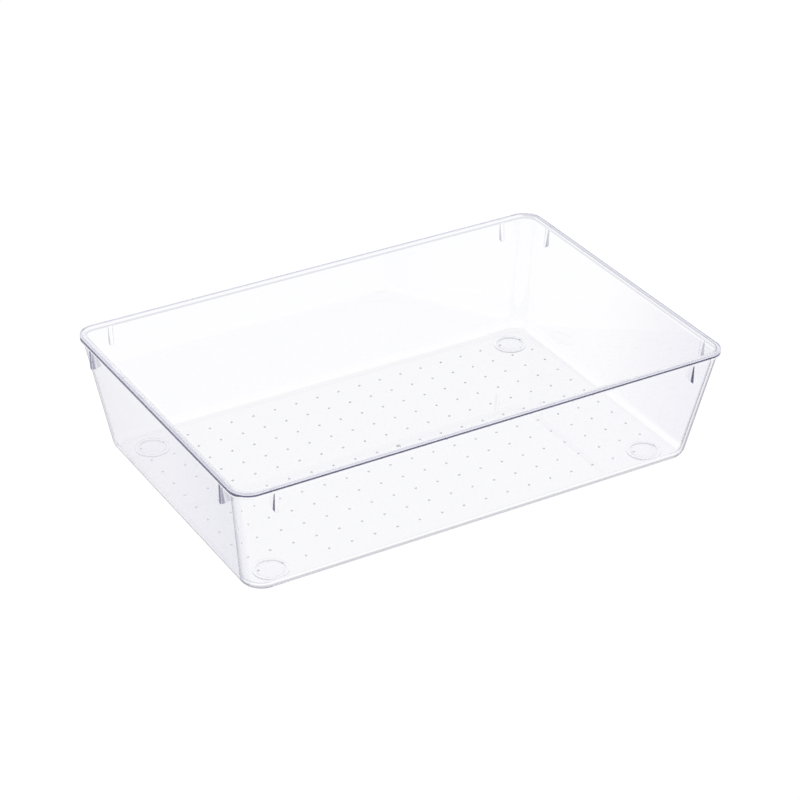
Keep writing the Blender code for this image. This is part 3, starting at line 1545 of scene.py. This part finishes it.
@dataclass(frozen=True)
class Daylight:
    """Soft light from all round, dimmer low down behind the tray.

    Attributes:
        white: How bright the background looks to the eye.
        bright: The light's colour overhead and in front.
        dim: Its colour low down behind.
        towards: The way to the middle of the dim part.
        spread: How far round the dim part reaches, as the dot product where it starts and is full.
        climb: The height where the dim part starts to fade and where it's gone, as a sine.
    """

    white: float = 1.03
    bright: Colour = (1.0, 1.0, 1.02)
    dim: Colour = (0.72, 0.72, 0.80)
    towards: tuple[float, float, float] = (0.77, 0.64, 0.0)
    spread: tuple[float, float] = (-0.75, 0.85)
    climb: tuple[float, float] = (0.28, 0.46)

    def build(self) -> bpy.types.World:
        """Makes the world's light.

        Returns:
            The world.
        """
        world = bpy.data.worlds.new("soft_light")
        world.use_nodes = True
        world.node_tree.nodes.clear()
        paper = NodePaper(world.node_tree)
        way = paper.add("ShaderNodeTexCoord").outputs["Generated"]
        along = paper.vectors("DOT_PRODUCT", way, Vector(self.towards).normalized())["Value"]
        low_down = paper.rise(paper.parts(way)["Z"], *self.climb[::-1])
        share = paper.product(paper.rise(along, *self.spread), low_down)
        around = paper.shaded(share, ((0.0, self.bright), (1.0, self.dim)))
        glow = paper.glow("ShaderNodeBackground", around, self.white)
        paper.add("ShaderNodeOutputWorld", Surface=glow)
        bpy.context.scene.world = world
        return world


@dataclass(frozen=True)
class Camera:
    """The camera, looking down at the tray from its front left.

    Attributes:
        aim: The point on the floor in the middle of the view.
        azimuth: The way to the camera round Z, in degrees from -Y towards +X.
        elevation: The camera's height above the horizon, in degrees.
        roll: How far the camera leans, in degrees.
        distance: From the aim to the camera.
        lens: The focal length in millimetres.
        sensor: The sensor's width in millimetres.
    """

    aim: tuple[float, float, float] = (0.0227, 0.03765, 0.0)
    azimuth: float = -30.4545
    elevation: float = 30.5404
    roll: float = 0.3468
    distance: float = 1.13466
    lens: float = 115.082
    sensor: float = 36.0

    def build(self) -> bpy.types.Object:
        """Places the camera and makes it the scene's.

        Returns:
            The camera.
        """
        data = bpy.data.cameras.new("camera")
        data.lens = self.lens
        data.sensor_width = self.sensor
        turn, rise = math.radians(self.azimuth), math.radians(self.elevation)
        back = Vector(
            (math.sin(turn) * math.cos(rise), -math.cos(turn) * math.cos(rise), math.sin(rise))
        )
        place = Vector(self.aim) + back * self.distance
        look = (-back).to_track_quat("-Z", "Y").to_matrix().to_4x4()
        lean = Matrix.Rotation(math.radians(self.roll), 4, "Z")
        camera = bpy.data.objects.new("camera", data)
        camera.matrix_world = Matrix.Translation(place) @ look @ lean
        bpy.context.scene.collection.objects.link(camera)
        bpy.context.scene.camera = camera
        return camera


def let_light_run() -> None:
    """Lets light run on inside the clear walls until it finds its way out, and keeps white white."""
    scene = bpy.context.scene
    scene.view_settings.view_transform = "Standard"
    scene.cycles.max_bounces = LIGHT_BOUNCES
    scene.cycles.transmission_bounces = LIGHT_BOUNCES
    scene.cycles.glossy_bounces = LIGHT_BOUNCES


def report(piece: bpy.types.Object) -> None:
    """Logs a finished piece's name, face count and size in millimetres."""
    size = " x ".join(f"{1000 * side:.1f}" for side in piece.dimensions)
    log.info("%s: %d faces, %s mm", piece.name, len(piece.data.polygons), size)


def main() -> None:
    """Builds the tray, its pads, and the studio round them."""
    logging.basicConfig(level=logging.INFO, format="%(name)s: %(message)s")
    report(Tray().build())
    silicone = ClearSilicone().material()
    for corner in Corner:
        report(GripPad(corner).build(silicone))
    PaleFloor().build()
    Daylight().build()
    Camera().build()
    let_light_run()


if __name__ == "__main__":
    main()
